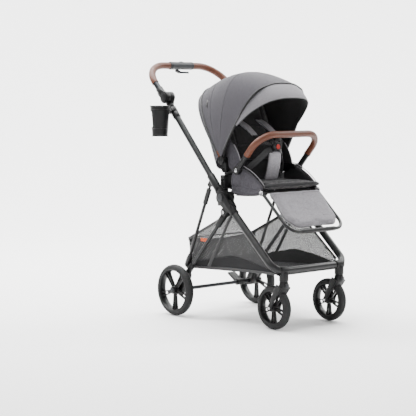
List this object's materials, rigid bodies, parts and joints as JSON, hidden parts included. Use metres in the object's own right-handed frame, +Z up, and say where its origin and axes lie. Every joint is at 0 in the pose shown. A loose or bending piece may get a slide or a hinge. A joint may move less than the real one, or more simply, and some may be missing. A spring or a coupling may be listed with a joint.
{
  "type": "baby stroller",
  "caption": "Folding four-wheel baby stroller with canopy, reclining seat, adjustable handle, storage basket and swivelling front wheels.",
  "frame": {"origin": "on the ground midway between the front wheels' contact points, when the casters trail straight back", "axes": "+Z up, +Y to the rear (towards the person pushing), +X towards the child's left side"},
  "size_m": [0.573, 0.8864, 1.0975],
  "materials": {
    "frame_black": "satin black powder coat on aluminium tube",
    "moulded_black": "fine grained black nylon",
    "moulded_grey": "fine grained dark grey nylon",
    "grey_metal": "satin grey anodised tube",
    "bright_metal": "polished trim and pins",
    "tan_leather": "tan artificial leather with a stitched seam",
    "grey_melange": "woven grey melange",
    "light_melange": "woven light grey melange",
    "seat_lining": "dark grey woven lining",
    "basket_mesh": "open grey mesh with a dark band",
    "binding": "black woven binding tape",
    "tyre_rubber": "matt foam-filled tyre with a fine tread",
    "red_button": "red button"
  },
  "bodies": {
    "chassis": {"front_frame": "frame_black", "hub_housings": "moulded_black", "caster_sockets": "moulded_black", "seat_sockets": "moulded_black", "basket_rim": "binding", "basket": "basket_mesh"},
    "upper_frame": {"upper_tubes": "frame_black", "upper_knuckles": "moulded_black", "tube_collars": "moulded_black"},
    "telescope": {"telescope_tubes": "grey_metal", "pivot_barrels": "moulded_black", "cup_clamp": "moulded_black", "cup_holder": "moulded_black"},
    "handle": {"handle_tube": "grey_metal", "handle_hubs": "moulded_black", "handle_grips": "tan_leather", "handle_console": "moulded_grey"},
    "trigger": {"fold_trigger": "grey_metal"},
    "lock_slider": {"fold_lock": "moulded_grey"},
    "left_tilt": {"left_tilt_button": "moulded_black"},
    "right_tilt": {"right_tilt_button": "moulded_black"},
    "rear_frame": {"rear_leg_sleeves": "moulded_black", "rear_legs": "frame_black", "rear_axles": "grey_metal", "wheel_carriers": "moulded_black"},
    "left_side_link": {"left_link": "frame_black"},
    "right_side_link": {"right_link": "frame_black"},
    "brake": {"brake_pedal": "moulded_black"},
    "rear_left_wheel": {"rear_left_tyre": "tyre_rubber", "rear_left_rim": "moulded_black"},
    "rear_right_wheel": {"rear_right_tyre": "tyre_rubber", "rear_right_rim": "moulded_black"},
    "front_left_wheel": {"front_left_tyre": "tyre_rubber", "front_left_rim": "moulded_black"},
    "front_right_wheel": {"front_right_tyre": "tyre_rubber", "front_right_rim": "moulded_black"},
    "left_caster": {"left_fork": "moulded_black", "left_pins": "bright_metal"},
    "right_caster": {"right_fork": "moulded_black", "right_pins": "bright_metal"},
    "left_swivel_stop": {"left_swivel_lock": "moulded_grey"},
    "right_swivel_stop": {"right_swivel_lock": "moulded_grey"},
    "seat_unit": {"seat_frame": "moulded_black", "seat_pad": "seat_lining", "side_wings": "grey_melange", "crotch_pad": "light_melange", "buckle": "moulded_black"},
    "harness_button": {"buckle_button": "red_button"},
    "left_release": {"left_seat_release": "bright_metal"},
    "right_release": {"right_seat_release": "bright_metal"},
    "backrest": {"back_frame": "frame_black", "back_pad": "seat_lining", "shoulder_pads": "light_melange", "canopy_shell": "grey_melange"},
    "canopy": {"canopy_bow": "moulded_black"},
    "visor": {"canopy_visor": "light_melange"},
    "bumper": {"bumper_bar": "moulded_black", "bumper_grip": "tan_leather"},
    "footrest": {"footrest_frame": "frame_black", "footrest_pad": "light_melange"}
  },
  "joints": [
    {"name": "fold", "type": "hinge", "parent": "chassis", "child": "upper_frame", "pos_m": [0, 0.25792, 0.52411], "axis": [-1, 0, 0], "range_deg": [0, 60]},
    {"name": "rear_leg_fold", "type": "hinge", "parent": "chassis", "child": "rear_frame", "pos_m": [0, 0.23941, 0.46413], "axis": [-1, 0, 0], "range_deg": [0, 49]},
    {"name": "left_link_fold", "type": "hinge", "parent": "upper_frame", "child": "left_side_link", "pos_m": [0.206, 0.33783, 0.57326], "axis": [1, 0, 0], "range_deg": [0, 21]},
    {"name": "right_link_fold", "type": "hinge", "parent": "upper_frame", "child": "right_side_link", "pos_m": [-0.206, 0.33783, 0.57326], "axis": [1, 0, 0], "range_deg": [0, 21]},
    {"name": "handle_extend", "type": "slide", "parent": "upper_frame", "child": "telescope", "axis": [0, 0.6691, 0.7431], "range_m": [0, 0.06]},
    {"name": "handle_tilt", "type": "hinge", "parent": "telescope", "child": "handle", "pos_m": [0, 0.61159, 0.93633], "axis": [-1, 0, 0], "range_deg": [-40, 50]},
    {"name": "trigger_squeeze", "type": "hinge", "parent": "handle", "child": "trigger", "pos_m": [-0.022, 0.77369, 1.05493], "axis": [0, -1, 0], "range_deg": [0, 5], "stiffness_Nm_per_rad": 0.6},
    {"name": "lock_slide", "type": "slide", "parent": "handle", "child": "lock_slider", "axis": [1, 0, 0], "range_m": [0, 0.008], "stiffness_N_per_m": 150},
    {"name": "left_tilt_press", "type": "slide", "parent": "telescope", "child": "left_tilt", "axis": [1, 0, 0], "range_m": [0, 0.004], "stiffness_N_per_m": 400},
    {"name": "right_tilt_press", "type": "slide", "parent": "telescope", "child": "right_tilt", "axis": [-1, 0, 0], "range_m": [0, 0.004], "stiffness_N_per_m": 400},
    {"name": "rear_left_spin", "type": "hinge", "parent": "rear_frame", "child": "rear_left_wheel", "pos_m": [0.241, 0.527, 0.111], "axis": [1, 0, 0], "continuous": true},
    {"name": "rear_right_spin", "type": "hinge", "parent": "rear_frame", "child": "rear_right_wheel", "pos_m": [-0.241, 0.527, 0.111], "axis": [1, 0, 0], "continuous": true},
    {"name": "left_swivel", "type": "hinge", "parent": "chassis", "child": "left_caster", "pos_m": [0.162, -0.055, 0.187], "axis": [0, 0, 1], "continuous": true},
    {"name": "right_swivel", "type": "hinge", "parent": "chassis", "child": "right_caster", "pos_m": [-0.162, -0.055, 0.187], "axis": [0, 0, 1], "continuous": true},
    {"name": "front_left_spin", "type": "hinge", "parent": "left_caster", "child": "front_left_wheel", "pos_m": [0.162, 0, 0.0906], "axis": [1, 0, 0], "continuous": true},
    {"name": "front_right_spin", "type": "hinge", "parent": "right_caster", "child": "front_right_wheel", "pos_m": [-0.162, 0, 0.0906], "axis": [1, 0, 0], "continuous": true},
    {"name": "left_swivel_stop_slide", "type": "slide", "parent": "left_caster", "child": "left_swivel_stop", "axis": [0, 0, 1], "range_m": [0, 0.006]},
    {"name": "right_swivel_stop_slide", "type": "slide", "parent": "right_caster", "child": "right_swivel_stop", "axis": [0, 0, 1], "range_m": [0, 0.006]},
    {"name": "brake_press", "type": "hinge", "parent": "rear_frame", "child": "brake", "pos_m": [0, 0.527, 0.111], "axis": [-1, 0, 0], "range_deg": [0, 20]},
    {"name": "seat_lift", "type": "slide", "parent": "chassis", "child": "seat_unit", "axis": [0, 0, 1], "range_m": [0, 0.08]},
    {"name": "harness_press", "type": "slide", "parent": "seat_unit", "child": "harness_button", "axis": [0, 1, 0], "range_m": [0, 0.0025], "stiffness_N_per_m": 400},
    {"name": "left_release_press", "type": "slide", "parent": "seat_unit", "child": "left_release", "axis": [-1, 0, 0], "range_m": [0, 0.003], "stiffness_N_per_m": 400},
    {"name": "right_release_press", "type": "slide", "parent": "seat_unit", "child": "right_release", "axis": [1, 0, 0], "range_m": [0, 0.003], "stiffness_N_per_m": 400},
    {"name": "recline", "type": "hinge", "parent": "seat_unit", "child": "backrest", "pos_m": [0, 0.298, 0.64], "axis": [-1, 0, 0], "range_deg": [-10, 38]},
    {"name": "canopy_fold", "type": "hinge", "parent": "backrest", "child": "canopy", "pos_m": [0, 0.3, 0.678], "axis": [-1, 0, 0], "range_deg": [0, 50], "deforming": ["canopy_shell"]},
    {"name": "visor_flip", "type": "hinge", "parent": "canopy", "child": "visor", "pos_m": [0, 0.188, 0.872], "axis": [-1, 0, 0], "range_deg": [0, 40], "deforming": ["canopy_visor"]},
    {"name": "bumper_swing", "type": "hinge", "parent": "seat_unit", "child": "bumper", "pos_m": [0, 0.203, 0.638], "axis": [1, 0, 0], "range_deg": [0, 45]},
    {"name": "footrest_tilt", "type": "hinge", "parent": "seat_unit", "child": "footrest", "pos_m": [0, 0.074, 0.549], "axis": [1, 0, 0], "range_deg": [-35, 35]}
  ],
  "couplings": [
    {"joint": "rear_leg_fold", "follows": "fold", "ratio": 0.7924},
    {"joint": "left_link_fold", "follows": "fold", "ratio": 0.3248},
    {"joint": "right_link_fold", "follows": "fold", "ratio": 0.3248}
  ]
}
